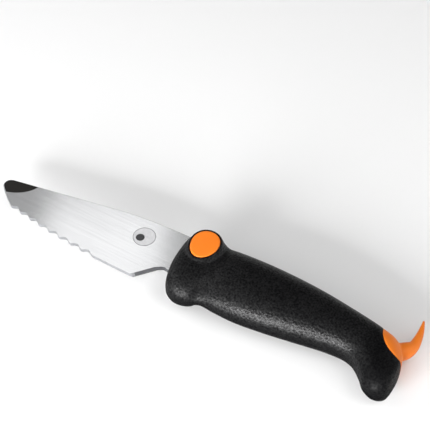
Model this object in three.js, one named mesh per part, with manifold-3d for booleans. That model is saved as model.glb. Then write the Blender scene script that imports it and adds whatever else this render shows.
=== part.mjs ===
// A child's serrated kitchen knife with a dog-shaped handle: a steel blade with a blunt, rounded tip, a rigid
// core moulded over its tang, a soft black grip over the core, two orange ear discs and an orange tail cap.
import * as THREE from 'three';
import { mergeVertices } from 'three/addons/utils/BufferGeometryUtils.js';
import Module from 'manifold-3d';

const wasm = await Module();
wasm.setup();

// Driving dimensions in millimetres. X runs from the blade's tip to the tail, Y from the cutting edge to the
// spine and Z through the thickness. The design origin is where the blade's spine enters the handle.

const GAP = 0.3; // clearance between neighbouring pieces

const BLADE = {
  thickness: 2.0,
  edgeEase: 0.45, // chamfer round the whole outline
  spineArch: [-20.6, -0.9], // the spine bows towards this point behind its straight part
  spineStraight: [-33.0, -2.8], // the straight part runs from here to the nose
  tipX: -91.5, // centre of the rounded nose
  tipY: -17.7,
  tipRadius: 3.4,
  noseEnd: 222, // direction in degrees, seen from the nose's centre, where its arc meets the front edge
  frontArch: [-90.4, -23.7], // the front edge bows out towards this point
  edgeY: -33.0, // straight cutting edge
  teethStartX: -83.1,
  teethStartY: -28.2,
  teethArch: [-59.8, -32.1], // the line of the teeth bows out towards this point
  teethEndX: -32.8,
  scallops: 8,
  scallopDepth: 1.5,
  scallopFullness: 0.8, // under 1 makes the scallops round and the teeth between them sharp
  scallopSamples: 8,
  heelX: -10.2,
  choilX: -1.2,
  choilY: -22.2,
  choilRadius: 2.0,
  shoulderX: 4.2, // where the full height of the blade steps down to the tang
};

const TANG = { top: -4.5, bottom: -19.5, end: 76, holeX: [28, 58], holeY: -12, holeRadius: 3.2 };

// Cross-sections of the handle, from the nose end to the rump. Each runs from its point on the back to its
// point on the belly, and half is half its thickness there. The first and the last close the form.
const STATIONS = [
  { back: [1.9, -12.0], belly: [1.9, -12.0], half: 0 },
  { back: [2.1, -5.0], belly: [2.6, -18.8], half: 5.2 },
  { back: [3.6, 0.2], belly: [4.2, -26.3], half: 8.0 },
  { back: [7.5, 1.8], belly: [7.0, -31.6], half: 9.4 },
  { back: [12.5, 2.2], belly: [12.4, -34.0], half: 9.7 },
  { back: [17.5, 2.5], belly: [18.4, -33.2], half: 9.0 },
  { back: [22.0, 2.8], belly: [24.2, -30.1], half: 8.4 },
  { back: [29.0, 3.4], belly: [31.5, -30.0], half: 9.6 },
  { back: [42.0, 4.0], belly: [42.0, -29.7], half: 10.5 },
  { back: [57.0, 4.0], belly: [56.0, -27.7], half: 10.6 },
  { back: [72.0, 3.2], belly: [70.0, -25.1], half: 10.3 },
  { back: [86.0, 1.6], belly: [82.0, -22.8], half: 9.8 },
  { back: [97.0, 0.1], belly: [92.0, -21.9], half: 9.3 },
  { back: [104.0, -1.4], belly: [98.5, -23.2], half: 9.0 },
  { back: [110.0, -3.1], belly: [104.0, -27.4], half: 8.9 },
  { back: [114.3, -6.2], belly: [108.0, -31.5], half: 8.8 },
  { back: [116.9, -10.6], belly: [113.4, -33.3], half: 8.4 },
  { back: [118.6, -15.8], belly: [118.2, -30.6], half: 7.0 },
  { back: [119.8, -22.8], belly: [119.8, -22.8], half: 0 },
];
const SECTION_POWER = 2.25; // 2 is an ellipse, more is squarer

// The core fills the grip between two stations and closes with a rounded end beyond each.
const GRIP = { wall: 2.4, coreFirst: 3, coreLast: 15, frontEnd: 2.0, rearEnd: 1.5 };

const EAR = {
  x: 12.7, // centre of the disc
  y: -6.6,
  halfWidth: 6.6,
  halfHeight: 7.95,
  topFullness: 0.1, // how much wider the egg is towards the spine
  face: 11.0, // height of the disc's flat face above the blade's mid-plane
  thickness: 2.6,
  ease: 0.35, // chamfer round the disc's face
  rim: 1.0, // soft black rim round the disc
  rimFace: 10.7,
  bossRoot: 2.5,
  bossSpread: 1.25, // how much larger the boss is at its root than at its rim
  bossLean: 0.4, // the root sits this much closer to the tail
  pegRadius: 2.6,
  pegRoot: 3.6,
};

const RUMP = { x: 118.6, y: 0.4, radius: 15.6 }; // the cap is the part of the handle inside this round cut

const SPIGOT = { from: [111.0, -7.2], to: [97.0, -12.6], radius: 3.0 };

// Centre line of the tail from inside the rump to its tip, and the tail's radius at each point.
const TAIL = {
  line: [[112.2, -8.6], [115.6, -5.2], [117.8, -1.4], [118.1, 3.4], [117.3, 8.6], [116.1, 13.9]],
  radius: [4.3, 3.9, 2.7, 2.0, 1.3, 0.55],
};

const COLOURS = { steel: 0xd9dbdd, black: 0x19191b, orange: 0xf5812a, core: 0xe87722 };

// Helpers

function solidFrom(geometry) {
  const bare = geometry.clone();
  bare.deleteAttribute('normal');
  bare.deleteAttribute('uv');
  const merged = mergeVertices(bare, 1e-4);
  const vertProperties = new Float32Array(merged.attributes.position.array);
  const triVerts = new Uint32Array(merged.index.array);
  return new wasm.Manifold(new wasm.Mesh({ numProp: 3, vertProperties, triVerts }));
}

function geometryFrom(solid) {
  const mesh = solid.getMesh();
  const geometry = new THREE.BufferGeometry();
  geometry.setAttribute('position', new THREE.BufferAttribute(mesh.vertProperties, 3));
  geometry.setIndex(new THREE.BufferAttribute(mesh.triVerts, 1));
  geometry.computeVertexNormals();
  return geometry;
}

// A closed form made by moving the vertices of a sphere: place(along, angle) gives each one's position,
// with along from 0 at one pole to 1 at the other.
function shapedSphere(around, steps, place) {
  const sphere = new THREE.SphereGeometry(1, around, steps);
  const columns = around + 1;
  const position = sphere.attributes.position;
  for (let i = 0; i < position.count; i += 1) {
    const row = Math.floor(i / columns);
    const column = (i % columns) % around;
    const isPole = row === 0 || row === steps;
    const point = place(row / steps, isPole ? 0 : (2 * Math.PI * column) / around);
    position.setXYZ(i, point.x, point.y, point.z);
  }
  return sphere;
}

const signedPower = (value, power) => Math.sign(value) * Math.abs(value) ** power;

function box(x0, x1, y0, y1, z0, z1) {
  const geometry = new THREE.BoxGeometry(x1 - x0, y1 - y0, z1 - z0);
  geometry.translate((x0 + x1) / 2, (y0 + y1) / 2, (z0 + z1) / 2);
  return geometry;
}

// A round bar between two points
function bar(from, to, radius, sides = 24) {
  const start = new THREE.Vector3(...from);
  const axis = new THREE.Vector3(...to).sub(start);
  const geometry = new THREE.CylinderGeometry(radius, radius, axis.length(), sides);
  geometry.translate(0, axis.length() / 2, 0);
  geometry.applyQuaternion(
    new THREE.Quaternion().setFromUnitVectors(new THREE.Vector3(0, 1, 0), axis.clone().normalize()),
  );
  geometry.translate(start.x, start.y, start.z);
  return geometry;
}

// The handle's form, with its sections moved in by inset and cut to the stations from first to last.
function handleForm({ inset = 0, first = 0, last = STATIONS.length - 1, around = 32, steps = 60 } = {}) {
  const kept = STATIONS.slice(first, last + 1).map(({ back, belly, half }) => {
    const centre = new THREE.Vector2((back[0] + belly[0]) / 2, (back[1] + belly[1]) / 2);
    const reach = new THREE.Vector2((back[0] - belly[0]) / 2, (back[1] - belly[1]) / 2);
    const length = reach.length();
    if (length > 0) reach.setLength(length - inset);
    return { centre, reach, half: Math.max(half - inset, 0) };
  });
  const endBeyond = (section, distance) => ({
    centre: section.centre.clone().add(new THREE.Vector2(distance, 0)),
    reach: new THREE.Vector2(),
    half: 0,
  });
  if (first > 0) kept.unshift(endBeyond(kept[0], -GRIP.frontEnd));
  if (last < STATIONS.length - 1) kept.push(endBeyond(kept[kept.length - 1], GRIP.rearEnd));
  const centres = new THREE.SplineCurve(kept.map((s) => s.centre));
  const reaches = new THREE.SplineCurve(kept.map((s) => s.reach));
  const halves = new THREE.SplineCurve(kept.map((s) => new THREE.Vector2(s.half, 0)));
  const power = 2 / SECTION_POWER;
  return shapedSphere(around, steps, (along, angle) => {
    const centre = centres.getPoint(along);
    const reach = reaches.getPoint(along);
    const half = Math.max(halves.getPoint(along).x, 0);
    const up = signedPower(Math.cos(angle), power);
    const out = signedPower(Math.sin(angle), power);
    const isPole = along === 0 || along === 1;
    const scale = isPole ? 0 : 1;
    return new THREE.Vector3(
      centre.x + scale * reach.x * up,
      centre.y + scale * reach.y * up,
      -scale * half * out,
    );
  });
}

// Outline of an ear, an egg that is wider towards the spine, grown outwards by margin.
function earOutline(margin) {
  const shape = new THREE.Shape();
  const points = 36;
  for (let i = 0; i < points; i += 1) {
    const angle = (2 * Math.PI * i) / points;
    const width = (EAR.halfWidth + margin) * (1 + EAR.topFullness * Math.sin(angle));
    const x = EAR.x + width * Math.cos(angle);
    const y = EAR.y + (EAR.halfHeight + margin) * Math.sin(angle);
    if (i === 0) shape.moveTo(x, y);
    else shape.lineTo(x, y);
  }
  shape.closePath();
  return shape;
}

// An ear outline as a plate from z0 to z1, with its upper rim eased.
function earPlate(margin, z0, z1, ease = 0) {
  const options = { depth: z1 - z0, bevelEnabled: false, curveSegments: 1 };
  if (ease > 0) {
    options.bevelEnabled = true;
    options.bevelThickness = ease;
    options.bevelSize = ease;
    options.bevelOffset = -ease;
    options.bevelSegments = 2;
    options.depth = z1 - z0 - 2 * ease;
  }
  const plate = new THREE.ExtrudeGeometry(earOutline(margin), options);
  plate.translate(0, 0, z0 + ease);
  return plate;
}

// The boss that carries an ear: the rim's outline at the top, spreading towards its root.
function earBoss() {
  const boss = earPlate(EAR.rim, EAR.bossRoot, EAR.rimFace, EAR.ease);
  const position = boss.attributes.position;
  const height = EAR.rimFace - EAR.bossRoot - EAR.ease;
  for (let i = 0; i < position.count; i += 1) {
    const drop = Math.min(Math.max((EAR.rimFace - EAR.ease - position.getZ(i)) / height, 0), 1);
    const scale = 1 + (EAR.bossSpread - 1) * drop;
    position.setX(i, EAR.x + (position.getX(i) - EAR.x) * scale + EAR.bossLean * drop);
    position.setY(i, EAR.y + (position.getY(i) - EAR.y) * scale);
  }
  return boss;
}

// The same solid on the other side of the blade's mid-plane.
const mirrored = (solid) => solid.mirror([0, 0, 1]);

// Pieces

function bladeOutline() {
  const b = BLADE;
  const shape = new THREE.Shape();
  const [straightX, straightY] = b.spineStraight;
  const spineSlope = Math.atan2(straightY - (b.tipY + b.tipRadius), straightX - b.tipX);
  const spineNormal = Math.PI / 2 + spineSlope;

  shape.moveTo(b.shoulderX, 0);
  shape.lineTo(0, 0);
  shape.quadraticCurveTo(...b.spineArch, straightX, straightY);
  shape.lineTo(
    b.tipX + b.tipRadius * Math.cos(spineNormal),
    b.tipY + b.tipRadius * Math.sin(spineNormal),
  );
  const noseEnd = THREE.MathUtils.degToRad(b.noseEnd);
  shape.absarc(b.tipX, b.tipY, b.tipRadius, spineNormal, noseEnd, false);
  shape.quadraticCurveTo(...b.frontArch, b.teethStartX, b.teethStartY);

  const toothLine = new THREE.QuadraticBezierCurve(
    new THREE.Vector2(b.teethStartX, b.teethStartY),
    new THREE.Vector2(...b.teethArch),
    new THREE.Vector2(b.teethEndX, b.edgeY),
  );
  const samples = b.scallops * b.scallopSamples;
  for (let i = 1; i <= samples; i += 1) {
    const turn = 2 * Math.PI * (i / b.scallopSamples);
    const wave = (0.5 - 0.5 * Math.cos(turn)) ** b.scallopFullness;
    const point = toothLine.getPoint(i / samples);
    shape.lineTo(point.x, point.y + b.scallopDepth * wave);
  }

  const rise = new THREE.Vector2(b.choilX - b.heelX, b.choilY - b.edgeY).normalize();
  shape.lineTo(b.heelX, b.edgeY);
  shape.lineTo(b.choilX - rise.x * b.choilRadius, b.choilY - rise.y * b.choilRadius);
  shape.quadraticCurveTo(b.choilX, b.choilY, b.choilX + b.choilRadius, b.choilY);
  shape.lineTo(b.shoulderX, b.choilY);
  shape.lineTo(b.shoulderX, TANG.bottom);
  shape.lineTo(TANG.end, TANG.bottom);
  shape.lineTo(TANG.end, TANG.top);
  shape.lineTo(b.shoulderX, TANG.top);
  shape.closePath();

  for (const x of TANG.holeX) {
    const hole = new THREE.Path();
    hole.absarc(x, TANG.holeY, TANG.holeRadius, 0, 2 * Math.PI, true);
    shape.holes.push(hole);
  }
  return shape;
}

function blade() {
  const b = BLADE;
  const geometry = new THREE.ExtrudeGeometry(bladeOutline(), {
    depth: b.thickness - 2 * b.edgeEase,
    bevelEnabled: true,
    bevelThickness: b.edgeEase,
    bevelSize: b.edgeEase,
    bevelOffset: -b.edgeEase,
    bevelSegments: 1,
    curveSegments: 10,
  });
  geometry.translate(0, 0, -b.thickness / 2 + b.edgeEase);
  return geometryFrom(solidFrom(geometry));
}

// Room for the blade and its tang, with the clearance round them.
function bladeRoom() {
  const halfSlot = BLADE.thickness / 2 + GAP;
  const shoulder = BLADE.shoulderX + GAP;
  const front = box(-6, shoulder, BLADE.choilY - GAP, GAP, -halfSlot, halfSlot);
  const rear = box(shoulder - 1, TANG.end + GAP, TANG.bottom - GAP, TANG.top + GAP, -halfSlot, halfSlot);
  return solidFrom(front).add(solidFrom(rear));
}

function rumpCut(radius) {
  return solidFrom(bar([RUMP.x, RUMP.y, -20], [RUMP.x, RUMP.y, 20], radius, 64));
}

function spigot(radius, extra = 0) {
  const from = [...SPIGOT.from, 0];
  const reach = new THREE.Vector2(SPIGOT.to[0] - SPIGOT.from[0], SPIGOT.to[1] - SPIGOT.from[1]);
  reach.setLength(reach.length() + extra);
  return solidFrom(bar(from, [from[0] + reach.x, from[1] + reach.y, 0], radius));
}

function core() {
  const inset = GRIP.wall + GAP;
  let solid = solidFrom(
    handleForm({ inset, first: GRIP.coreFirst, last: GRIP.coreLast, around: 24, steps: 40 }),
  );
  solid = solid.subtract(bladeRoom());
  for (const x of TANG.holeX) {
    const half = BLADE.thickness;
    solid = solid.add(
      solidFrom(bar([x, TANG.holeY, -half], [x, TANG.holeY, half], TANG.holeRadius - GAP)),
    );
  }
  const socket = solidFrom(
    bar([EAR.x, EAR.y, EAR.pegRoot - GAP], [EAR.x, EAR.y, EAR.face], EAR.pegRadius + GAP),
  );
  solid = solid.subtract(socket).subtract(mirrored(socket));
  solid = solid.subtract(rumpCut(RUMP.radius + GAP / 2));
  return geometryFrom(solid.subtract(spigot(SPIGOT.radius + GAP, GAP)));
}

function grip() {
  const outer = solidFrom(handleForm());
  const cavity = solidFrom(
    handleForm({ inset: GRIP.wall, first: GRIP.coreFirst, last: GRIP.coreLast, around: 24, steps: 40 }),
  );
  const boss = solidFrom(earBoss());
  const pocket = solidFrom(earPlate(GAP, EAR.face - EAR.thickness - GAP, EAR.face + 1));
  const pegHole = solidFrom(bar([EAR.x, EAR.y, 0], [EAR.x, EAR.y, EAR.face], EAR.pegRadius + GAP));
  let solid = outer.add(boss).add(mirrored(boss));
  solid = solid.subtract(cavity).subtract(bladeRoom());
  for (const cut of [pocket, pegHole]) {
    solid = solid.subtract(cut).subtract(mirrored(cut));
  }
  return geometryFrom(solid.subtract(rumpCut(RUMP.radius + GAP / 2)));
}

function ear(side) {
  const disc = solidFrom(earPlate(0, EAR.face - EAR.thickness, EAR.face, EAR.ease));
  const peg = solidFrom(
    bar([EAR.x, EAR.y, EAR.pegRoot], [EAR.x, EAR.y, EAR.face - 1], EAR.pegRadius),
  );
  const solid = disc.add(peg);
  return geometryFrom(side > 0 ? solid : mirrored(solid));
}

function tail() {
  const line = new THREE.SplineCurve(TAIL.line.map(([x, y]) => new THREE.Vector2(x, y)));
  const radii = new THREE.SplineCurve(TAIL.radius.map((r) => new THREE.Vector2(r, 0)));
  return shapedSphere(16, 28, (along, angle) => {
    const centre = line.getPoint(along);
    const tangent = line.getTangent(along);
    const isPole = along === 0 || along === 1;
    const radius = isPole ? 0 : radii.getPoint(along).x;
    return new THREE.Vector3(
      centre.x - tangent.y * radius * Math.cos(angle),
      centre.y + tangent.x * radius * Math.cos(angle),
      -radius * Math.sin(angle),
    );
  });
}

function tailCap() {
  const patch = solidFrom(handleForm()).intersect(rumpCut(RUMP.radius - GAP / 2));
  return geometryFrom(patch.add(spigot(SPIGOT.radius)).add(solidFrom(tail())));
}

// Assembly

const knife = new THREE.Group();

function addPiece(name, geometry, colour, roughness, metalness) {
  const material = new THREE.MeshStandardMaterial({ color: colour, roughness, metalness });
  const mesh = new THREE.Mesh(geometry, material);
  mesh.name = name;
  knife.add(mesh);
}

addPiece('blade', blade(), COLOURS.steel, 0.35, 1.0);
addPiece('handle_core', core(), COLOURS.core, 0.5, 0.0);
addPiece('grip', grip(), COLOURS.black, 0.65, 0.0);
addPiece('ear_left', ear(1), COLOURS.orange, 0.45, 0.0);
addPiece('ear_right', ear(-1), COLOURS.orange, 0.45, 0.0);
addPiece('tail_cap', tailCap(), COLOURS.orange, 0.45, 0.0);

// The knife lies on its side: the box's centre is over the origin and its lowest point is at height 0.
const bounds = new THREE.Box3().setFromObject(knife);
const middle = bounds.getCenter(new THREE.Vector3());
knife.position.set(-middle.x, -middle.y, -bounds.min.z);

export default knife;
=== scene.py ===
# Child's kitchen knife with a dog-shaped handle, lying on its side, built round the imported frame.
import math

import bmesh
import bpy
import numpy as np
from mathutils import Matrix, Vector
from mathutils.bvhtree import BVHTree
from mathutils.geometry import tessellate_polygon


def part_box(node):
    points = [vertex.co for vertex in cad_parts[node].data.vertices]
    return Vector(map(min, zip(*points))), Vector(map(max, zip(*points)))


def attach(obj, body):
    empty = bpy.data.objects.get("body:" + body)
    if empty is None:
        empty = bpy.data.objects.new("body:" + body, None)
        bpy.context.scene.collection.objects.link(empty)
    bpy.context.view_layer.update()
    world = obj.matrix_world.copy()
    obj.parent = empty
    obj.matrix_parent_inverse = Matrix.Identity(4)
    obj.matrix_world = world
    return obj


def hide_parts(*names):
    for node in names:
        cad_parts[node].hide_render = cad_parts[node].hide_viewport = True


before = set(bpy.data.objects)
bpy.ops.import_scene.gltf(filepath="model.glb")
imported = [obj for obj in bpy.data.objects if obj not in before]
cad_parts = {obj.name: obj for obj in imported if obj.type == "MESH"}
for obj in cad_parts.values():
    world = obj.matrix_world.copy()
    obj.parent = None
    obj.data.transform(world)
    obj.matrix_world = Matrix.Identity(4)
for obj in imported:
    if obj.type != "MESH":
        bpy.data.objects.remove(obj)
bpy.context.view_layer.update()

MM = 0.001

# Design numbers, in millimetres. X runs from the blade's tip to the tail, Y from the cutting edge to the
# spine and Z through the thickness. The design origin is where the blade's spine enters the handle.

TANG_END = 76.0
BLADE_THICKNESS = 2.0

# Cross-sections of the handle from the front of the head to the rump and the foot: the point on the back,
# the point on the belly and half the thickness there.
STATIONS = [
    ((1.9, -12.0), (1.9, -12.0), 0.0),
    ((2.1, -5.0), (2.6, -18.8), 5.2),
    ((3.6, 0.2), (4.2, -26.3), 8.0),
    ((7.5, 1.8), (7.0, -31.6), 9.4),
    ((12.5, 2.2), (12.4, -34.0), 9.7),
    ((17.5, 2.5), (18.4, -33.2), 9.0),
    ((22.0, 2.8), (24.2, -30.1), 8.4),
    ((29.0, 3.4), (31.5, -30.0), 9.6),
    ((42.0, 4.0), (42.0, -29.7), 10.5),
    ((57.0, 4.0), (56.0, -27.7), 10.6),
    ((72.0, 3.2), (70.0, -25.1), 10.3),
    ((86.0, 1.6), (82.0, -22.8), 9.8),
    ((97.0, 0.1), (92.0, -21.9), 9.3),
    ((104.0, -1.4), (98.5, -23.2), 9.0),
    ((110.0, -3.1), (104.0, -27.4), 8.9),
    ((114.3, -6.2), (108.0, -31.5), 8.8),
    ((116.9, -10.6), (113.4, -33.3), 8.4),
    ((118.6, -15.8), (118.2, -30.6), 7.0),
    ((119.8, -22.8), (119.8, -22.8), 0.0),
]
# 2 makes the handle's section an ellipse and more makes it squarer: along X, and the power there.
SECTION_POWERS = ((12.0, 2.7), (24.0, 2.25), (94.0, 2.25), (106.0, 2.6))

# The dip between the head and the body, at the belly's side: its line, half width, depth and where it fades.
NECK_LINE = ((21.6, -34.0), (25.6, -12.0))
NECK_WIDTH = 1.9
NECK_DEPTH = 0.9
NECK_FADE_ALONG = (0.35, 1.0)  # as shares of the line
NECK_FADE_ACROSS = (1.0, 5.0)  # away from the blade's plane

EAR_CENTRE = (12.7, -6.6)
EAR_HALF_WIDTH = 6.6
EAR_HALF_HEIGHT = 7.95
EAR_FULLNESS = 0.1  # the egg is this much wider towards the spine
EAR_FACE = 11.0
EAR_THICKNESS = 2.6
EAR_RIM = 1.0
EAR_RIM_FACE = 10.65
EAR_BOSS_ROOT = 2.5
EAR_BOSS_SPREAD = 1.25
EAR_BOSS_LEAN = 0.4
EAR_PEG_RADIUS = 2.6
EAR_PEG_ROOT = 3.6
EAR_PEG_BEVEL = 0.3
EAR_SEGMENTS = 72
EAR_ROUNDING = 0.5
EAR_CROWN = 0.06  # how much the disc's face falls towards its rounded rim

RUMP_CENTRE = (118.6, 0.4)
RUMP_RADIUS = 15.6
SPIGOT_ROOT = (111.0, -7.2)
SPIGOT_TIP = (97.0, -12.6)
SPIGOT_RADIUS = 3.0

TAIL_LINE = [
    (112.2, -8.6), (115.6, -5.2), (117.8, -1.4), (117.93, 3.4), (117.3, 8.4), (116.15, 13.3),
]
TAIL_RADII = [4.3, 3.9, 2.7, 2.0, 1.3, 0.5]

# The black skin round the hidden core, and the slot in it for the blade.
GRIP_WALL = 2.15
CAVITY_START = 4.5
SLOT_END = 12.0
SLOT_MIDDLE = -11.1
SLOT_HALF_HEIGHT = 11.25

# Slits between the skin and the pieces in it.
RUMP_SLIT = 0.06
EAR_SLIT = 0.08
EAR_BASE_SLIT = 0.1
BLADE_SLIT = 0.12
PEG_SLIT = 0.3

# How softly the shapes run into each other, and how round their edges are.
BOSS_BLEND = 2.2
BOSS_ROOT_BLEND = 1.5
BOSS_EDGE = 0.7
RUMP_EDGE = 0.35
POCKET_EDGE = 0.45
SLOT_EDGE = 0.3
TAIL_BLEND = 0.9

# The boxes that hold the upper halves of the two rounded pieces, and the pitch of their surfaces.
GRIP_BOX = ((0.5, -36.0), (121.5, 6.5, 11.6))
GRIP_PITCH = 0.55
CAP_BOX = ((93.0, -20.0), (122.5, 15.5, 9.5))
CAP_PITCH = 0.32

blade_low, blade_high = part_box("blade")
DESIGN_ORIGIN = np.array([
    blade_high[0] / MM - TANG_END,
    blade_high[1] / MM,
    (blade_low[2] + blade_high[2]) / 2 / MM,
])


def to_frame(points):
    """Design millimetres to the row frame's metres."""
    return (np.asarray(points, float) + DESIGN_ORIGIN) * MM


# Curves and fields


def spline(points, count):
    """A Catmull-Rom curve through the points, sampled evenly in its parameter."""
    points = np.asarray(points, float)
    last = len(points) - 1
    t = np.linspace(0, last, count)
    i = np.minimum(t.astype(int), last - 1)
    w = (t - i)[:, None]
    p0, p1 = points[np.maximum(i - 1, 0)], points[i]
    p2, p3 = points[i + 1], points[np.minimum(i + 2, last)]
    v0, v1 = (p2 - p0) / 2, (p3 - p1) / 2
    return (2 * p1 - 2 * p2 + v0 + v1) * w**3 + (3 * (p2 - p1) - 2 * v0 - v1) * w**2 + v0 * w + p1


def signed_power(value, power):
    return np.sign(value) * np.abs(value) ** power


def handle_tree(rings=220, around=128):
    """The handle's form as a dense closed surface, for distance queries."""
    backs = spline([s[0] for s in STATIONS], rings)
    bellies = spline([s[1] for s in STATIONS], rings)
    halves = np.maximum(spline([[s[2]] for s in STATIONS], rings), 0)
    angle = np.linspace(0, 2 * math.pi, around, endpoint=False)
    centre, reach = (backs + bellies) / 2, (backs - bellies) / 2
    power = np.interp(centre[:, :1], *zip(*SECTION_POWERS))
    up = signed_power(np.cos(angle), 2 / power)
    out = signed_power(np.sin(angle), 2 / power)
    xy = centre[:, None] + reach[:, None] * up[:, :, None]
    z = halves * out
    points = np.concatenate([xy, z[..., None]], axis=2).reshape(-1, 3)
    faces = []
    for ring in range(rings - 1):
        for k in range(around):
            a, b = ring * around + k, ring * around + (k + 1) % around
            if ring == 0:
                faces.append((a, b + around, a + around))
            elif ring == rings - 2:
                faces.append((a, b, a + around))
            else:
                faces.append((a, b, b + around, a + around))
    return BVHTree.FromPolygons([tuple(p) for p in points], faces)


HANDLE = handle_tree()


def handle_distance(points):
    """Distance to the handle's surface, negative inside."""
    result = np.empty(len(points))
    find = HANDLE.find_nearest
    for i, point in enumerate(points):
        location, normal, _, distance = find(point)
        outwards = (
            (point[0] - location[0]) * normal[0]
            + (point[1] - location[1]) * normal[1]
            + (point[2] - location[2]) * normal[2]
        )
        result[i] = -distance if outwards < 0 else distance
    return result


def smooth_step(value, start, end):
    t = np.clip((value - start) / (end - start), 0, 1)
    return t * t * (3 - 2 * t)


def smooth_min(a, b, radius):
    blend = np.maximum(radius - np.abs(a - b), 0) / radius
    return np.minimum(a, b) - blend * blend * radius / 4


def smooth_max(a, b, radius):
    return -smooth_min(-a, -b, radius)


def egg_distance(x, y, margin):
    """Distance to an ear's outline in the blade's plane, grown by margin."""
    v = (y - EAR_CENTRE[1]) / (EAR_HALF_HEIGHT + margin)
    width = (EAR_HALF_WIDTH + margin) * (1 + EAR_FULLNESS * np.clip(v, -1, 1))
    u = (x - EAR_CENTRE[0]) / width
    radius = np.sqrt(u * u + v * v) + 1e-6
    slope = np.sqrt((u / width) ** 2 + (v / (EAR_HALF_HEIGHT + margin)) ** 2) / radius + 1e-6
    return (radius - 1) / slope


def boss_distance(p):
    """The boss that carries an ear, spreading from its rim towards its root."""
    z = np.abs(p[:, 2])
    drop = np.clip((EAR_RIM_FACE - z) / (EAR_RIM_FACE - EAR_BOSS_ROOT), 0, 1)
    scale = 1 + (EAR_BOSS_SPREAD - 1) * drop
    x = (p[:, 0] - EAR_CENTRE[0] - EAR_BOSS_LEAN * drop) / scale + EAR_CENTRE[0]
    y = (p[:, 1] - EAR_CENTRE[1]) / scale + EAR_CENTRE[1]
    side = egg_distance(x, y, EAR_RIM) * scale
    return smooth_max(side, EAR_BOSS_ROOT - z, BOSS_ROOT_BLEND)


def capsule_distance(p, a, b, radius_a, radius_b):
    """Distance to a round bar in the blade's plane, from a to b, that may taper."""
    a, b = np.array([*a, 0.0]), np.array([*b, 0.0])
    along = np.clip((p - a) @ (b - a) / ((b - a) @ (b - a)), 0, 1)
    centre = a + along[:, None] * (b - a)
    return np.linalg.norm(p - centre, axis=1) - (radius_a + (radius_b - radius_a) * along)


def neck_dip(p):
    """How far the skin is pressed in between the head and the body."""
    low, high = (np.array(end) for end in NECK_LINE)
    along = (high - low) / np.linalg.norm(high - low)
    from_low = p[:, :2] - low
    aside = from_low[:, 0] * along[1] - from_low[:, 1] * along[0]
    fade = 1 - smooth_step(from_low @ along / np.linalg.norm(high - low), *NECK_FADE_ALONG)
    fade *= smooth_step(np.abs(p[:, 2]), *NECK_FADE_ACROSS)
    return NECK_DEPTH * fade * np.exp(-((aside / NECK_WIDTH) ** 2))


def skin_distance(p, handle):
    """The whole outside of the handle, ear bosses included."""
    skin = smooth_min(handle + neck_dip(p), boss_distance(p), BOSS_BLEND)
    return smooth_max(skin, np.abs(p[:, 2]) - EAR_RIM_FACE, BOSS_EDGE)


def rump_distance(p, radius):
    """Distance to the upright cylinder that parts the orange rump from the black skin."""
    return np.hypot(p[:, 0] - RUMP_CENTRE[0], p[:, 1] - RUMP_CENTRE[1]) - radius


def grip_distance(p):
    """The black skin, open for the rump, the ears and their pegs, the blade and the core."""
    handle = handle_distance(p)
    z = np.abs(p[:, 2])
    rump = rump_distance(p, RUMP_RADIUS + RUMP_SLIT)
    grip = smooth_max(skin_distance(p, handle), -rump, RUMP_EDGE)
    pocket_base = EAR_FACE - EAR_THICKNESS - EAR_BASE_SLIT
    pocket = np.maximum(egg_distance(p[:, 0], p[:, 1], EAR_SLIT), pocket_base - z)
    grip = smooth_max(grip, -pocket, POCKET_EDGE)
    from_ear = np.hypot(p[:, 0] - EAR_CENTRE[0], p[:, 1] - EAR_CENTRE[1])
    grip = np.maximum(grip, -(from_ear - EAR_PEG_RADIUS - PEG_SLIT))
    slot = np.maximum(p[:, 0] - SLOT_END, np.abs(p[:, 1] - SLOT_MIDDLE) - SLOT_HALF_HEIGHT)
    slot = np.maximum(z - BLADE_THICKNESS / 2 - BLADE_SLIT, slot)
    grip = smooth_max(grip, -slot, SLOT_EDGE)
    cavity = np.maximum(handle + GRIP_WALL, CAVITY_START - p[:, 0])
    return np.maximum(grip, -cavity)


def tail_distance(p):
    line = spline(TAIL_LINE, 40)
    radii = spline([[r] for r in TAIL_RADII], 40)[:, 0]
    parts = [
        capsule_distance(p, line[i], line[i + 1], radii[i], radii[i + 1])
        for i in range(len(line) - 1)
    ]
    return np.min(parts, axis=0)


def cap_distance(p):
    """The rump with the tail, and the spigot into the core."""
    handle = handle_distance(p)
    rump = rump_distance(p, RUMP_RADIUS - RUMP_SLIT)
    cap = smooth_max(skin_distance(p, handle), rump, RUMP_EDGE)
    cap = smooth_min(cap, tail_distance(p), TAIL_BLEND)
    spigot = capsule_distance(p, SPIGOT_ROOT, SPIGOT_TIP, SPIGOT_RADIUS, SPIGOT_RADIUS)
    return np.minimum(cap, spigot)


# Surfacing


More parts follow.
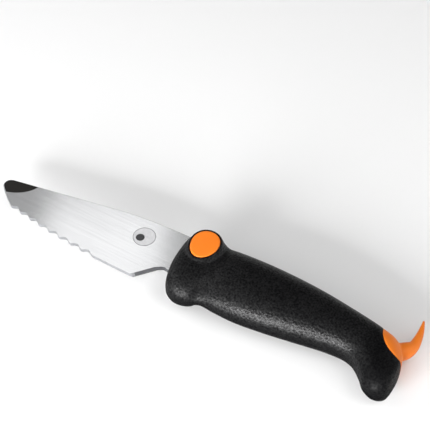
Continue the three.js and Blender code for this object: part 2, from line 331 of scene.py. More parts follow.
def surface_net(distance, low, high, pitch):
    """Vertices and quads of the surface where distance is zero, alike on both sides of the blade."""
    xs = np.arange(low[0], high[0] + pitch, pitch)
    ys = np.arange(low[1], high[1] + pitch, pitch)
    half_z = np.arange(pitch / 2, high[2] + pitch, pitch)
    grid = np.stack(np.meshgrid(xs, ys, half_z, indexing="ij"), axis=-1)
    half = distance(grid.reshape(-1, 3)).reshape(grid.shape[:3])
    values = np.concatenate([half[:, :, ::-1], half], axis=2)
    zs = np.concatenate([-half_z[::-1], half_z])
    inside = values < 0

    corners = [(i, j, k) for i in (0, 1) for j in (0, 1) for k in (0, 1)]
    size = np.array(values.shape) - 1

    def at_corner(corner):
        """The field at one corner of every cell."""
        return values[tuple(slice(first, first + cells) for first, cells in zip(corner, size))]

    total, count = np.zeros((*size, 3)), np.zeros(size)
    for a in corners:
        for axis in range(3):
            if a[axis] == 1:
                continue
            b = tuple(1 if n == axis else a[n] for n in range(3))
            va, vb = at_corner(a), at_corner(b)
            crosses = (va < 0) != (vb < 0)
            with np.errstate(divide="ignore", invalid="ignore"):
                t = np.where(crosses, va / (va - vb), 0)
            for n in range(3):
                place = a[n] + (t if n == axis else 0)
                total[..., n] += np.where(crosses, place, 0)
            count += crosses
    used = count > 0
    index = np.full(size, -1)
    index[used] = np.arange(used.sum())
    cells = np.argwhere(used)
    local = total[used] / count[used][:, None]
    steps = (cells + local) * pitch
    vertices = steps + np.array([xs[0], ys[0], zs[0]])

    faces = []
    for axis in range(3):
        u, v = (axis + 1) % 3, (axis + 2) % 3
        first = np.take(inside, range(values.shape[axis] - 1), axis)
        second = np.take(inside, range(1, values.shape[axis]), axis)
        for flip, mask in ((False, first & ~second), (True, ~first & second)):
            nodes = np.argwhere(mask)
            sides = nodes[:, [u, v]]
            nodes = nodes[np.all((sides > 0) & (sides < size[[u, v]]), axis=1)]
            quad = []
            for du, dv in ((-1, -1), (0, -1), (0, 0), (-1, 0)):
                cell = nodes.copy()
                cell[:, u] += du
                cell[:, v] += dv
                quad.append(index[cell[:, 0], cell[:, 1], cell[:, 2]])
            quad = np.stack(quad, axis=1)
            faces.append(quad[:, ::-1] if flip else quad)
    return vertices, np.concatenate(faces)


def vertex_normals(vertices, faces):
    a, b, c, d = (vertices[faces[:, i]] for i in range(4))
    face_normals = np.cross(c - a, d - b)
    normals = np.zeros_like(vertices)
    for i in range(4):
        np.add.at(normals, faces[:, i], face_normals)
    return normals / (np.linalg.norm(normals, axis=1)[:, None] + 1e-12)


def fair(vertices, faces, rounds):
    """Evens out the vertices: each moves along the surface, towards the mean of its neighbours."""
    edges = np.concatenate([faces[:, [i, (i + 1) % 4]] for i in range(4)])
    for _ in range(rounds):
        total, count = np.zeros_like(vertices), np.zeros(len(vertices))
        np.add.at(total, edges[:, 0], vertices[edges[:, 1]])
        np.add.at(count, edges[:, 0], 1)
        normals = vertex_normals(vertices, faces)
        move = total / np.maximum(count, 1)[:, None] - vertices
        move -= normals * np.sum(move * normals, axis=1)[:, None]
        vertices = vertices + 0.5 * move
    return vertices


def snap(vertices, faces, distance, pitch, rounds=2):
    """Moves each vertex onto the exact surface."""
    for _ in range(rounds):
        step = np.clip(distance(vertices), -pitch / 2, pitch / 2)
        vertices = vertices - vertex_normals(vertices, faces) * step[:, None]
    return vertices


def field_piece(name, distance, box, pitch):
    """A piece with the shape of a field, evenly meshed and smooth."""
    vertices, faces = surface_net(distance, *box, pitch)
    vertices = fair(vertices, faces, 2)
    vertices = snap(vertices, faces, distance, pitch)
    return mesh_piece(name, vertices, faces, smooth=True)


def mesh_piece(name, vertices, faces, smooth):
    mesh = bpy.data.meshes.new(name)
    faces = [tuple(int(i) for i in face) for face in faces]
    mesh.from_pydata([tuple(p) for p in to_frame(vertices)], [], faces)
    mesh.validate()
    mesh.update()
    mesh.polygons.foreach_set("use_smooth", [smooth] * len(mesh.polygons))
    piece = bpy.data.objects.new(name, mesh)
    bpy.context.collection.objects.link(piece)
    return piece


def crisp_piece(name, vertices, faces):
    """A flat-shaded closed piece, with its faces turned outwards."""
    piece = mesh_piece(name, vertices, faces, smooth=False)
    mesh = bmesh.new()
    mesh.from_mesh(piece.data)
    bmesh.ops.recalc_face_normals(mesh, faces=mesh.faces)
    mesh.to_mesh(piece.data)
    mesh.free()
    return piece


# Pieces

BLADE_SPINE_ARCH = (-20.6, -0.9)
BLADE_SPINE_STRAIGHT = (-33.0, -2.8)
BLADE_NOSE = (-91.5, -17.7)
BLADE_NOSE_RADIUS = 3.4
BLADE_NOSE_END = 222  # degrees, seen from the nose's centre
BLADE_FRONT_ARCH = (-90.4, -23.7)
TEETH_START = (-83.1, -28.2)
TEETH_ARCH = (-59.8, -32.1)
TEETH_END = (-32.8, -33.0)
SCALLOPS = 8
SCALLOP_DEPTH = 1.5
SCALLOP_FULLNESS = 0.8
SCALLOP_STEPS = 20
SCALLOP_GRIND = (0.2, 0.08)  # the grind's reach beyond the scallops, and what it gains after the first
SCALLOP_GRIND_DEPTH = 0.9
NEARLY_STRAIGHT = 0.12  # the sine of the sharpest turn that doesn't count as a corner
HEEL = (-10.2, -33.0)
CHOIL = (-1.2, -22.2)
CHOIL_RADIUS = 2.0
SHOULDER_X = 4.2
TANG_TOP, TANG_BOTTOM = -4.5, -19.5
TANG_HOLES = ((28.0, -12.0), (58.0, -12.0))
TANG_HOLE_RADIUS = 3.2
TANG_HOLE_SEGMENTS = 48
HEEL_TOP = -21.5  # the dark heel face is below this

# How far the ground or eased border reaches in from the outline, and half the thickness left there.
SPINE_EASE = (0.28, 0.8)
NOSE_EASE = (0.4, 0.65)
TEETH_GRIND = (0.25, 0.25)
EDGE_GRIND = (0.22, 0.25)
HEEL_GRIND = (1.35, 0.35)
CHOIL_GRIND = (0.9, 0.45)

BLADE_FINISHES = ("flat", "edge", "heel")
FLAT = 0.999  # the upward part of a flat face's direction, at least
BRUSHING_UV = "lengthwise"
BRUSHING_SCALE = 10


def quadratic(start, bend, end, count):
    """A curve from start to end that heads for bend, without its first point."""
    t = np.linspace(0, 1, count + 1)[1:, None]
    start, bend, end = (np.array(p, float) for p in (start, bend, end))
    return (1 - t) ** 2 * start + 2 * t * (1 - t) * bend + t * t * end


def blade_loops():
    """The blade's outline, the border of its flat face and half the thickness along the outline."""
    points, grinds, borders = [(0.0, 0.0)], [SPINE_EASE], {}

    def run(line, grind):
        for p in line:
            points.append(tuple(p))
            grinds.append(grind)

    def straight_run(start, end, steps, grind):
        run(start + (end - start) * np.linspace(0, 1, steps + 1)[1:, None], grind)

    run(quadratic((0, 0), BLADE_SPINE_ARCH, BLADE_SPINE_STRAIGHT, 24), SPINE_EASE)
    nose = np.array(BLADE_NOSE)
    straight = np.array(BLADE_SPINE_STRAIGHT)
    slope = math.atan2(straight[1] - nose[1] - BLADE_NOSE_RADIUS, straight[0] - nose[0])
    angles = np.linspace(math.pi / 2 + slope, math.radians(BLADE_NOSE_END), 30)
    arc = nose + BLADE_NOSE_RADIUS * np.stack([np.cos(angles), np.sin(angles)], axis=1)
    straight_run(straight, arc[0], 12, SPINE_EASE)
    run(arc[1:], NOSE_EASE)
    run(quadratic(arc[-1], BLADE_FRONT_ARCH, TEETH_START, 16), NOSE_EASE)

    # The grind behind each scallop reaches a little further in than the scallop itself.
    steps = SCALLOPS * SCALLOP_STEPS
    t = np.linspace(0, 1, steps + 1)[1:]
    line = quadratic(TEETH_START, TEETH_ARCH, TEETH_END, steps)
    turn = 0.5 - 0.5 * np.cos(2 * math.pi * t * SCALLOPS)
    rise = SCALLOP_DEPTH * turn**SCALLOP_FULLNESS
    for i, (x, y) in enumerate(line):
        fade_in = min(t[i] * SCALLOPS * 2, 1)
        reach = SCALLOP_DEPTH * SCALLOP_GRIND_DEPTH * turn[i]
        borders[len(points)] = (x, y + reach + SCALLOP_GRIND[0] + SCALLOP_GRIND[1] * fade_in)
        points.append((x, y + rise[i]))
        grinds.append(TEETH_GRIND)

    heel, choil = np.array(HEEL), np.array(CHOIL)
    edge = np.array(TEETH_END)
    straight_run(edge, heel, 12, EDGE_GRIND)
    direction = (choil - heel) / np.linalg.norm(choil - heel)
    top = choil - direction * CHOIL_RADIUS
    straight_run(heel, top, 10, HEEL_GRIND)
    run(quadratic(top, CHOIL, (CHOIL[0] + CHOIL_RADIUS, CHOIL[1]), 8), CHOIL_GRIND)
    tang = [
        (SHOULDER_X, CHOIL[1]), (SHOULDER_X, TANG_BOTTOM), (TANG_END, TANG_BOTTOM),
        (TANG_END, TANG_TOP), (SHOULDER_X, TANG_TOP), (SHOULDER_X, 0.0),
    ]
    run(tang, SPINE_EASE)

    outline = np.array(points)
    border = np.empty_like(outline)
    widths = np.array([g[0] for g in grinds])
    for i in range(len(outline)):
        if i in borders:
            border[i] = borders[i]
            continue
        following = (i + 1) % len(outline)
        before = outline[i] - outline[i - 1]
        after = outline[following] - outline[i]
        n1 = np.array([-before[1], before[0]]) / np.linalg.norm(before)
        n2 = np.array([-after[1], after[0]]) / np.linalg.norm(after)
        w1, w2 = widths[i], widths[following]
        cross = n1[0] * n2[1] - n1[1] * n2[0]
        if abs(cross) < NEARLY_STRAIGHT or following in borders:
            mean = n1 + n2
            border[i] = outline[i] + mean / np.linalg.norm(mean) * (w1 + w2) / 2
        else:
            corner = np.array([w1 * n2[1] - w2 * n1[1], w2 * n1[0] - w1 * n2[0]])
            border[i] = outline[i] + corner / cross
    return outline, border, np.array([g[1] for g in grinds])


def circle(centre, radius, count):
    angles = np.linspace(0, 2 * math.pi, count, endpoint=False)
    return np.array(centre) + radius * np.stack([np.cos(angles), np.sin(angles)], axis=1)


def lifted(points, z):
    """Points of the blade's plane at height z, which may be one number or one for each."""
    return np.column_stack([points, np.broadcast_to(z, len(points))])


def triangles_of(loops):
    """Triangles of a flat face with holes, all wound anticlockwise as seen from above."""
    flat = np.concatenate(loops)
    chains = [[Vector((x, y, 0)) for x, y in loop] for loop in loops]
    found = []
    for a, b, c in tessellate_polygon(chains):
        u, v = flat[b] - flat[a], flat[c] - flat[a]
        found.append((a, b, c) if u[0] * v[1] - u[1] * v[0] > 0 else (c, b, a))
    return found


def bands(first, second, count):
    """Quads between two closed loops of count vertices, given where each loop's vertices start."""
    return [
        (first + i, first + (i + 1) % count, second + (i + 1) % count, second + i)
        for i in range(count)
    ]


def make_blade():
    """The blade: two flat faces with ground borders between them, and the holes in the tang."""
    outline, border, edge_half = blade_loops()
    half = BLADE_THICKNESS / 2
    count, hole_count = len(outline), TANG_HOLE_SEGMENTS
    vertices = [
        lifted(border, half), lifted(outline, edge_half), lifted(outline, -edge_half), lifted(border, -half),
    ]
    faces = []
    for row in range(3):
        faces += bands(row * count, (row + 1) * count, count)
    start = 4 * count
    holes = []
    for centre in TANG_HOLES:
        ring = circle(centre, TANG_HOLE_RADIUS, hole_count)
        holes.append((start, ring))
        vertices += [lifted(ring, half), lifted(ring, -half)]
        faces += bands(start + hole_count, start, hole_count)
        start += 2 * hole_count
    upper = [np.arange(count)] + [at + np.arange(hole_count) for at, _ in holes]
    lower = [3 * count + np.arange(count)] + [at + hole_count + np.arange(hole_count) for at, _ in holes]
    upper, lower = np.concatenate(upper), np.concatenate(lower)
    for a, b, c in triangles_of([border] + [ring for _, ring in holes]):
        faces.append((upper[a], upper[b], upper[c]))
        faces.append((lower[c], lower[b], lower[a]))
    piece = crisp_piece("blade_steel", np.concatenate(vertices), faces)
    for face in piece.data.polygons:
        x, y, _ = np.array(face.center) / MM - DESIGN_ORIGIN
        if abs(face.normal.z) > FLAT:
            face.material_index = BLADE_FINISHES.index("flat")
        elif x > HEEL[0] and y < HEEL_TOP:
            face.material_index = BLADE_FINISHES.index("heel")
        else:
            face.material_index = BLADE_FINISHES.index("edge")
    return piece


def add_flat_uv(piece):
    """A UV map laid flat on the blade's plane, so that the brushing can follow its length."""
    layer = piece.data.uv_layers.new(name=BRUSHING_UV)
    places = np.empty(len(piece.data.vertices) * 3)
    piece.data.vertices.foreach_get("co", places)
    corners = np.empty(len(piece.data.loops), int)
    piece.data.loops.foreach_get("vertex_index", corners)
    layer.data.foreach_set("uv", (places.reshape(-1, 3)[corners, :2] * BRUSHING_SCALE).ravel())


PRINT_LIFT = 0.012
PRINT_DEPTH = 0.02


def make_print(name, loops):
    """A thin printed layer on both faces of the blade, from an outline and its holes."""
    vertices, faces, start = [], [], 0
    flat, triangles = np.concatenate(loops), triangles_of(loops)
    total = len(flat)
    for side in (1, -1):
        low = side * (BLADE_THICKNESS / 2 - PRINT_DEPTH)
        high = side * (BLADE_THICKNESS / 2 + PRINT_LIFT)
        vertices += [lifted(flat, high), lifted(flat, low)]
        for a, b, c in triangles:
            faces.append((start + a, start + b, start + c))
            faces.append((start + total + c, start + total + b, start + total + a))
        at = start
        for loop in loops:
            faces += bands(at, at + total, len(loop))
            at += len(loop)
        start += 2 * total
    return crisp_piece(name, np.concatenate(vertices), faces)


EYE_CENTRE = (-17.9, -11.1)
EYE_RADIUS = 5.5
EYE_LINE = 0.3
EYE_SEGMENTS = 72
PUPIL_CENTRE = (-19.4, -12.4)
PUPIL_RADIUS = 2.1
PUPIL_SEGMENTS = 48
PRINT_SLIT = 0.02
NOSE_PRINT_BORDER = [
    (-95.0, -23.3), (-91.7, -22.6), (-88.3, -21.5), (-85.0, -19.7),
    (-81.9, -17.1), (-79.8, -14.2), (-78.2, -10.6),
]
NOSE_PRINT_SAMPLES = 240
NOSE_PRINT_STEP = 6
NOSE_OUTLINE_POINTS = 70  # of the blade's outline, from the handle round the nose


def is_inside(p, loop):
    """Whether a point lies inside a closed loop."""
    following = np.roll(loop, -1, axis=0)
    spans = (loop[:, 1] > p[1]) != (following[:, 1] > p[1])
    a, b = loop[spans], following[spans]
    crossing = a[:, 0] + (p[1] - a[:, 1]) / (b[:, 1] - a[:, 1]) * (b[:, 0] - a[:, 0])
    return np.count_nonzero(crossing > p[0]) % 2 == 1


def nose_print_loop():
    """The part of the blade's face in front of the curved border of the nose."""
    _, border, _ = blade_loops()
    curve = spline(NOSE_PRINT_BORDER, NOSE_PRINT_SAMPLES)
    curve = curve[[is_inside(p, border) for p in curve]]

    def in_front(p):
        """Whether a point lies on the curve's left side, where the nose is."""
        i = np.argmin(np.hypot(*(curve - p).T))
        i = min(max(i, 1), len(curve) - 2)
        along = curve[i + 1] - curve[i - 1]
        across = p - curve[i]
        return along[0] * across[1] - along[1] * across[0] > 0

    kept = [p for p in border[:NOSE_OUTLINE_POINTS] if p[0] < curve[-1][0] and in_front(p)]
    return np.concatenate([np.array(kept), curve[::NOSE_PRINT_STEP], curve[-1:]])


def make_ear(name, side):
    """An egg-shaped disc with a softly rounded rim, on a round peg."""
    rows = []
    rim_face = EAR_FACE - EAR_CROWN
    for share in np.linspace(0.08, 1, 12):
        inset = (1 - share) * EAR_HALF_WIDTH + share * EAR_ROUNDING
        rows.append((inset, EAR_FACE - EAR_CROWN * share**2))
    for angle in np.linspace(0, math.pi / 2, 7)[1:]:
        rows.append((
            EAR_ROUNDING * (1 - math.sin(angle)),
            rim_face - EAR_ROUNDING * (1 - math.cos(angle)),
        ))
    bottom = EAR_FACE - EAR_THICKNESS
    rows += [(0.0, bottom + 0.2), (0.15, bottom)]

    angles = np.linspace(0, 2 * math.pi, EAR_SEGMENTS, endpoint=False)
    vertices = []
    for inset, z in rows:
        width = (EAR_HALF_WIDTH - inset) * (1 + EAR_FULLNESS * np.sin(angles))
        height = EAR_HALF_HEIGHT - inset * EAR_HALF_HEIGHT / EAR_HALF_WIDTH
        x = EAR_CENTRE[0] + width * np.cos(angles)
        y = EAR_CENTRE[1] + height * np.sin(angles)
        vertices.append(np.column_stack([x, y, np.full_like(x, z)]))
    for radius, z in (
        (EAR_PEG_RADIUS, bottom),
        (EAR_PEG_RADIUS, EAR_PEG_ROOT + EAR_PEG_BEVEL),
        (EAR_PEG_RADIUS - EAR_PEG_BEVEL, EAR_PEG_ROOT),
    ):
        vertices.append(lifted(circle(EAR_CENTRE, radius, EAR_SEGMENTS), z))
    faces = []
    for row in range(len(vertices) - 1):
        faces += bands((row + 1) * EAR_SEGMENTS, row * EAR_SEGMENTS, EAR_SEGMENTS)
    top = len(vertices) * EAR_SEGMENTS
    last = top - EAR_SEGMENTS
    vertices.append(np.array([(*EAR_CENTRE, EAR_FACE), (*EAR_CENTRE, EAR_PEG_ROOT)]))
    for i in range(EAR_SEGMENTS):
        following = (i + 1) % EAR_SEGMENTS
        faces.append((top, i, following))
        faces.append((top + 1, last + following, last + i))
    points = np.concatenate(vertices)
    if side < 0:
        points[:, 2] *= -1
        faces = [f[::-1] for f in faces]
    piece = mesh_piece(name, points, faces, smooth=True)

    # The disc's bottom edge and the peg's start at it are the only sharp edges.
    crisp = piece.data.attributes.new("sharp_edge", "BOOLEAN", "EDGE")
    flags = [False] * len(piece.data.edges)
    corner_rows = {len(rows) - 1, len(rows)}
    for edge in piece.data.edges:
        a, b = (v // EAR_SEGMENTS for v in edge.vertices)
        flags[edge.index] = a == b and a in corner_rows
    crisp.data.foreach_set("value", flags)
    return piece


# Materials


class Tree:
    """A node tree, with short ways to add the nodes that the finishes share."""

    def __init__(self, owner):
        owner.use_nodes = True
        self.nodes, self.links = owner.node_tree.nodes, owner.node_tree.links

    def add(self, kind):
        return self.nodes.new("ShaderNode" + kind)

    def feed(self, node, socket, value):
        """Sets a node's input to a constant, or links it to another node's output."""
        if isinstance(value, bpy.types.NodeSocket):
            self.links.new(value, node.inputs[socket])
        else:
            node.inputs[socket].default_value = value

    def surface(self, socket, value):
        self.feed(self.nodes["Principled BSDF"], socket, value)

    def place(self, stretch=(1, 1, 1)):
        """Where a point is on its piece."""
        mapping = self.add("Mapping")
        self.feed(mapping, "Vector", self.add("TexCoord").outputs["Object"])
        self.feed(mapping, "Scale", stretch)
        return mapping.outputs["Vector"]

    def split(self, vector):
        """A vector's X, Y and Z."""
        parts = self.add("SeparateXYZ")
        self.feed(parts, "Vector", vector)
        return parts.outputs

    def noise(self, place, scale, detail=2.0, roughness=0.5):
        texture = self.add("TexNoise")
        self.feed(texture, "Vector", place)
        self.feed(texture, "Scale", scale)
        self.feed(texture, "Detail", detail)
        self.feed(texture, "Roughness", roughness)
        return texture.outputs["Fac"]

    def ramp(self, value, low, high, start=0.3, end=0.7):
        """Turns a value between start and end into a colour between low and high."""
        node = self.add("ValToRGB")
        for stop, position, colour in zip(node.color_ramp.elements, (start, end), (low, high)):
            stop.position, stop.color = position, (*colour, 1)
        self.feed(node, "Fac", value)
        return node.outputs["Color"]

    def spread(self, value, low, high, start=0.3, end=0.7):
        """Turns a value between start and end into one between low and high."""
        node = self.add("MapRange")
        self.feed(node, "Value", value)
        self.feed(node, "From Min", start)
        self.feed(node, "From Max", end)
        self.feed(node, "To Min", low)
        self.feed(node, "To Max", high)
        return node.outputs["Result"]

    def calculate(self, operation, *values):
        """One step of arithmetic, on nodes' outputs and numbers."""
        node = self.add("Math")
        node.operation = operation
        for number, value in enumerate(values):
            self.feed(node, number, value)
        return node.outputs["Value"]

    def bump(self, height, distance, strength):
        node = self.add("Bump")
        self.feed(node, "Distance", distance)
        self.feed(node, "Strength", strength)
        self.feed(node, "Height", height)
        return node.outputs["Normal"]


def new_finish(name):
    material = bpy.data.materials.new(name)
    return material, Tree(material)


def steel():
    """Steel brushed along its length: the stretched noise runs along X."""
    material, tree = new_finish("brushed steel")
    fine = tree.noise(tree.place((30, 3200, 3200)), 1.0, 3.0, 0.6)
    soft = tree.noise(tree.place((35, 1800, 1800)), 1.0, 3.0)
    broad = tree.noise(tree.place((30, 60, 60)), 1.0)
    tree.surface("Metallic", 1.0)
    tree.surface("Anisotropic", 0.85)
    tree.surface("Anisotropic Rotation", 0.25)
    tree.surface("Base Color", tree.ramp(soft, (0.77, 0.775, 0.785), (0.835, 0.84, 0.85)))
    tree.surface("Roughness", tree.spread(broad, 0.145, 0.175))
    tangent = tree.add("Tangent")
    tangent.direction_type = "UV_MAP"
    tangent.uv_map = BRUSHING_UV
    tree.surface("Tangent", tangent.outputs["Tangent"])
    tree.surface("Normal", tree.bump(fine, 0.00001, 0.35))
    return material


def ground_steel(name, darkest, lightest):
    material, tree = new_finish(name)
    marks = tree.noise(tree.place((1800, 1800, 500)), 1.0, 3.0, 0.6)
    tree.surface("Metallic", 1.0)
    tree.surface("Base Color", tree.ramp(marks, darkest, lightest))
    tree.surface("Roughness", tree.spread(marks, 0.32, 0.45))
    tree.surface("Normal", tree.bump(marks, 0.00003, 0.4))
    return material


# Where fingers have polished the black skin: the middle of the belly along X, and how far from there the
# polish starts and stops to fade.
POLISH_MIDDLE = 65.0
POLISH_REACH = (28.0, 44.0)

# Painted shade on the black skin's undersides: its gloss from below to above, with the upward part of the
# surface's direction at both ends, so that surfaces facing down lose their reflection as if shaded.
UNDERSIDE_SHADE_GLOSS_RANGE = (0.1, 1.0)
UNDERSIDE_SHADE_FACING = (-0.05, 0.42)

# Painted shade on the foot: the gloss that is left there, and where along X it fades.
FOOT_PAINTED_SHADE_GLOSS = 0.45
FOOT_PAINTED_SHADE_FADE = (97.0, 107.0)


def lengthwise(x):
    return to_frame([x, 0, 0])[0]


def soft_black():
    material, tree = new_finish("soft black grip")
    place = tree.place()
    grain = tree.noise(place, 1100, roughness=0.6)
    wear = tree.noise(place, 60, 3.0, 0.6)
    tree.surface("Base Color", tree.ramp(wear, (0.0016, 0.0016, 0.0019), (0.003, 0.003, 0.0034)))

    x = tree.split(place)["X"]
    from_middle = tree.calculate("ABSOLUTE", tree.calculate("SUBTRACT", x, lengthwise(POLISH_MIDDLE)))
    dull = tree.spread(from_middle, 0.0, 0.06, *(reach * MM for reach in POLISH_REACH))
    tree.surface("Roughness", tree.calculate("ADD", tree.spread(wear, 0.38, 0.43), dull))

    # Painted shade: the gloss is cut on surfaces that face down, which darkens them as if they were in
    # shade; the grain's speckle in the gloss is real.
    facing = tree.split(tree.add("NewGeometry").outputs["Normal"])["Z"]
    gloss_and_painted_shade = tree.spread(facing, *UNDERSIDE_SHADE_GLOSS_RANGE, *UNDERSIDE_SHADE_FACING)
    # Painted shade: the gloss falls off towards the foot's end, which darkens it as if shaded.
    foot_shade = tree.spread(x, 1.0, FOOT_PAINTED_SHADE_GLOSS, *map(lengthwise, FOOT_PAINTED_SHADE_FADE))
    gloss_and_painted_shade = tree.calculate("MULTIPLY", gloss_and_painted_shade, foot_shade)
    gloss_and_painted_shade = tree.calculate("MULTIPLY", tree.spread(grain, 0.04, 0.44), gloss_and_painted_shade)
    tree.surface("Specular IOR Level", gloss_and_painted_shade)
    tree.surface("Normal", tree.bump(grain, 0.0003, 0.8))
    return material


def coloured_plastic(name, colour, roughness):
    material, tree = new_finish(name)
    place = tree.place()
    cloud = tree.noise(place, 90, 3.0)
    grain = tree.noise(place, 1900)
    darker = tuple(c * 0.94 for c in colour)
    tree.surface("Base Color", tree.ramp(cloud, darker, colour))
    tree.surface("Roughness", tree.spread(cloud, roughness, roughness + 0.07))
    tree.surface("Specular IOR Level", 0.25)
    tree.surface("Subsurface Weight", 0.08)
    tree.surface("Subsurface Radius", (0.0015, 0.0006, 0.0002))
    tree.surface("Subsurface Scale", 1.0)
    tree.surface("Normal", tree.bump(grain, 0.00004, 0.35))
    return material


def ink(name, colour, roughness=0.5):
    material, tree = new_finish(name)
    speckle = tree.noise(tree.place(), 900, 3.0)
    lighter = tuple(min(c * 1.25, 1) for c in colour)
    tree.surface("Base Color", tree.ramp(speckle, colour, lighter))
    tree.surface("Roughness", tree.spread(speckle, roughness, roughness + 0.12))
    tree.surface("Specular IOR Level", 0.2)
    return material


# The knife

grip = field_piece("grip_skin", grip_distance, GRIP_BOX, GRIP_PITCH)
cap = field_piece("tail_cap_skin", cap_distance, CAP_BOX, CAP_PITCH)
blade = make_blade()
add_flat_uv(blade)
ears = [make_ear("ear_left_disc", 1), make_ear("ear_right_disc", -1)]

line_outside = circle(EYE_CENTRE, EYE_RADIUS, EYE_SEGMENTS)
line_inside = circle(EYE_CENTRE, EYE_RADIUS - EYE_LINE, EYE_SEGMENTS)
white_outside = circle(EYE_CENTRE, EYE_RADIUS - EYE_LINE - PRINT_SLIT, EYE_SEGMENTS)
white_inside = circle(PUPIL_CENTRE, PUPIL_RADIUS + PRINT_SLIT, PUPIL_SEGMENTS)
eye_line = make_print("eye_line_print", [line_outside, line_inside[::-1]])
eye_white = make_print("eye_white_print", [white_outside, white_inside[::-1]])
pupil = make_print("pupil_print", [circle(PUPIL_CENTRE, PUPIL_RADIUS, PUPIL_SEGMENTS)])
nose_print = make_print("nose_print", [nose_print_loop()])

finishes = {
    "steel": steel(),
    "soft_black": soft_black(),
    "orange_plastic": coloured_plastic("orange plastic", (0.83, 0.2, 0.015), 0.42),
    "core_plastic": coloured_plastic("core plastic", (0.8, 0.2, 0.03), 0.5),
}
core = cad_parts["handle_core"]
core.data.materials.clear()
core.data.materials.append(finishes["core_plastic"])
for piece, node, slot in (
    (grip, "grip", "soft_black"),
    (cap, "tail_cap", "orange_plastic"),
    (blade, "blade", "steel"),
    (ears[0], "ear_left", "orange_plastic"),
    (ears[1], "ear_right", "orange_plastic"),
):
    piece.data.materials.append(finishes[slot])
    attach(piece, "root")
    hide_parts(node)
# The grind marks on the ground borders are real, but their dark steel is painted shade standing in for the
# dark they reflect; the heel's near-black steel is a painted dark reflection.
for finish in (
    ground_steel("ground steel edge with painted shade", (0.33, 0.335, 0.35), (0.46, 0.465, 0.48)),
    ground_steel("ground steel heel with painted shade", (0.1, 0.103, 0.11), (0.19, 0.193, 0.2)),
):
    blade.data.materials.append(finish)
for piece, finish in (
    (eye_line, ink("eye line", (0.16, 0.16, 0.165))),
    (eye_white, ink("eye ground", (0.48, 0.48, 0.49), 0.45)),
    (pupil, ink("pupil", (0.042, 0.042, 0.044))),
    (nose_print, ink("nose", (0.011, 0.010, 0.009))),
):
    piece.data.materials.append(finish)
    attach(piece, "root")


# Room, lights and camera, in metres unless a number is said to be a design one

FLOOR_REACH = 2.6
FLOOR_COLOUR = (0.84, 0.84, 0.84, 1)

# The room's light from all round: near the horizon, overhead, and the part of the way up where it changes.
HORIZON = (0.14, 0.14, 0.14)
OVERHEAD = (0.02, 0.02, 0.02)
HORIZON_END = (0.3, 0.6)
WALL_COLOUR = (0.8, 0.8, 0.8, 1)

# The camera looks at a point near the middle of the knife, given in design millimetres.
CAMERA_TARGET = (3.49, 18.09, 0.0)
CAMERA_AZIMUTH = 31
CAMERA_ELEVATION = 51
CAMERA_DISTANCE = 0.6413
CAMERA_LENS = 111.851163
SENSOR_WIDTH = 36

# Soft panels on a dome round the knife: compass direction from +X towards +Y and height, both in degrees,
# width and height of the panel, and how bright it is.
DOME_RADIUS = 0.9
DOME_CENTRE = Vector((0, 0, 0.01))
PANELS = [
    (270, 17, 0.50, 0.30, 35.0),
    (15, 14, 0.30, 0.26, 4.5),
]
PANELS += [
    (around, up, 0.44, 0.40, brightness)
    for around, up, brightness in (
        (270, 36, 2.0), (240, 36, 0.5), (210, 36, 1.6), (180, 36, 2.2), (180, 12, 0.3),
        (150, 12, 0.6), (330, 60, 1.2), (0, 60, 2.2), (0, 36, 0.8), (30, 36, 1.7),
        (60, 36, 0.4), (60, 12, 1.2), (180, 60, 0.5), (216, 60, 0.65), (252, 60, 0.6),
    )
]

# Lamps with narrow beams over the floor further out, so that it stays pale in low views.
FLOOR_LIGHTS = 8
FLOOR_LIGHT_RADIUS = 1.9
FLOOR_LIGHT_HEIGHT = 1.1
FLOOR_LIGHT_SIZE = 1.4
FLOOR_LIGHT_BRIGHTNESS = 0.7
FLOOR_LIGHT_BEAM = 60

# Panels that the blade's flat face mirrors, facing down at one height and all turned alike: place in design
# millimetres, width, height and brightness. The left edges of the first two make the sharp step from grey to
# bright behind the nose.
BLADE_PANEL_HEIGHT = 489.0
BLADE_PANEL_TURN = 25
BLADE_PANELS = [
    ((-262, 246), 0.12, 0.19, 1.30),
    ((-224, 298), 0.23, 0.26, 0.38),
    ((-215, 190), 0.14, 0.12, 1.66),
    ((-385, 310), 0.20, 0.36, 0.39),
]

DOWN = Vector((0, 0, -1))


def make_floor():
    mesh = bpy.data.meshes.new("floor")
    reach = FLOOR_REACH
    corners = [(-reach, -reach, 0), (reach, -reach, 0), (reach, reach, 0), (-reach, reach, 0)]
    mesh.from_pydata(corners, [], [(0, 1, 2, 3)])
    floor = bpy.data.objects.new("floor", mesh)
    bpy.context.collection.objects.link(floor)
    material, tree = new_finish("pale floor")
    tree.surface("Base Color", FLOOR_COLOUR)
    tree.surface("Roughness", 0.9)
    tree.surface("Specular IOR Level", 0.0)
    mesh.materials.append(material)


def make_world():
    """A dim room that is a little brighter round the horizon, behind which the camera sees a pale wall."""
    world = bpy.data.worlds.new("studio")
    bpy.context.scene.world = world
    tree = Tree(world)
    up = tree.split(tree.add("TexCoord").outputs["Generated"])["Z"]
    room = tree.nodes["Background"]
    tree.feed(room, "Color", tree.ramp(up, HORIZON, OVERHEAD, *HORIZON_END))
    wall = tree.add("Background")
    tree.feed(wall, "Color", WALL_COLOUR)
    mix = tree.add("MixShader")
    tree.feed(mix, "Fac", tree.add("LightPath").outputs["Is Camera Ray"])
    tree.feed(mix, 1, room.outputs["Background"])
    tree.feed(mix, 2, wall.outputs["Background"])
    tree.feed(tree.nodes["World Output"], "Surface", mix.outputs["Shader"])


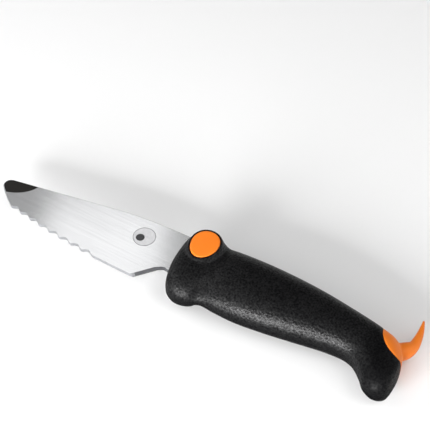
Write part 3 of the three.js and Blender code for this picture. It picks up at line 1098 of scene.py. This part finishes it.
def make_camera():
    azimuth, elevation = math.radians(CAMERA_AZIMUTH), math.radians(CAMERA_ELEVATION)
    away = Vector((
        math.sin(azimuth) * math.cos(elevation),
        -math.cos(azimuth) * math.cos(elevation),
        math.sin(elevation),
    ))
    data = bpy.data.cameras.new("camera")
    data.sensor_width = SENSOR_WIDTH
    data.lens = CAMERA_LENS
    camera = bpy.data.objects.new("camera", data)
    camera.location = Vector(to_frame(CAMERA_TARGET)) + away * CAMERA_DISTANCE
    camera.rotation_euler = (-away).to_track_quat("-Z", "Y").to_euler()
    bpy.context.collection.objects.link(camera)
    bpy.context.scene.camera = camera


def add_light(name, place, direction, width, height, brightness):
    lamp = bpy.data.lights.new(name, "AREA")
    lamp.shape = "RECTANGLE"
    lamp.size, lamp.size_y = width, height
    lamp.energy = math.pi * width * height * brightness
    light = bpy.data.objects.new(name, lamp)
    light.location = place
    light.rotation_euler = direction.to_track_quat("-Z", "Y").to_euler()
    bpy.context.collection.objects.link(light)
    return light


make_floor()
make_world()
make_camera()
for number, (around, up, width, height, brightness) in enumerate(PANELS):
    a, e = math.radians(around), math.radians(up)
    place = DOME_RADIUS * Vector((math.cos(e) * math.cos(a), math.cos(e) * math.sin(a), math.sin(e)))
    add_light(f"panel {number}", place, DOME_CENTRE - place, width, height, brightness)
for number in range(FLOOR_LIGHTS):
    turn = 2 * math.pi * number / FLOOR_LIGHTS
    place = Vector((math.cos(turn), math.sin(turn), 0)) * FLOOR_LIGHT_RADIUS - DOWN * FLOOR_LIGHT_HEIGHT
    light = add_light(
        f"floor light {number}", place, DOWN, FLOOR_LIGHT_SIZE, FLOOR_LIGHT_SIZE, FLOOR_LIGHT_BRIGHTNESS
    )
    light.data.spread = math.radians(FLOOR_LIGHT_BEAM)
for number, ((x, y), width, height, brightness) in enumerate(BLADE_PANELS):
    place = Vector(to_frame([x, y, BLADE_PANEL_HEIGHT]))
    panel = add_light(f"blade panel {number}", place, DOWN, width, height, brightness)
    panel.rotation_euler = (0, 0, math.radians(BLADE_PANEL_TURN))

bpy.context.scene.view_settings.view_transform = "Standard"
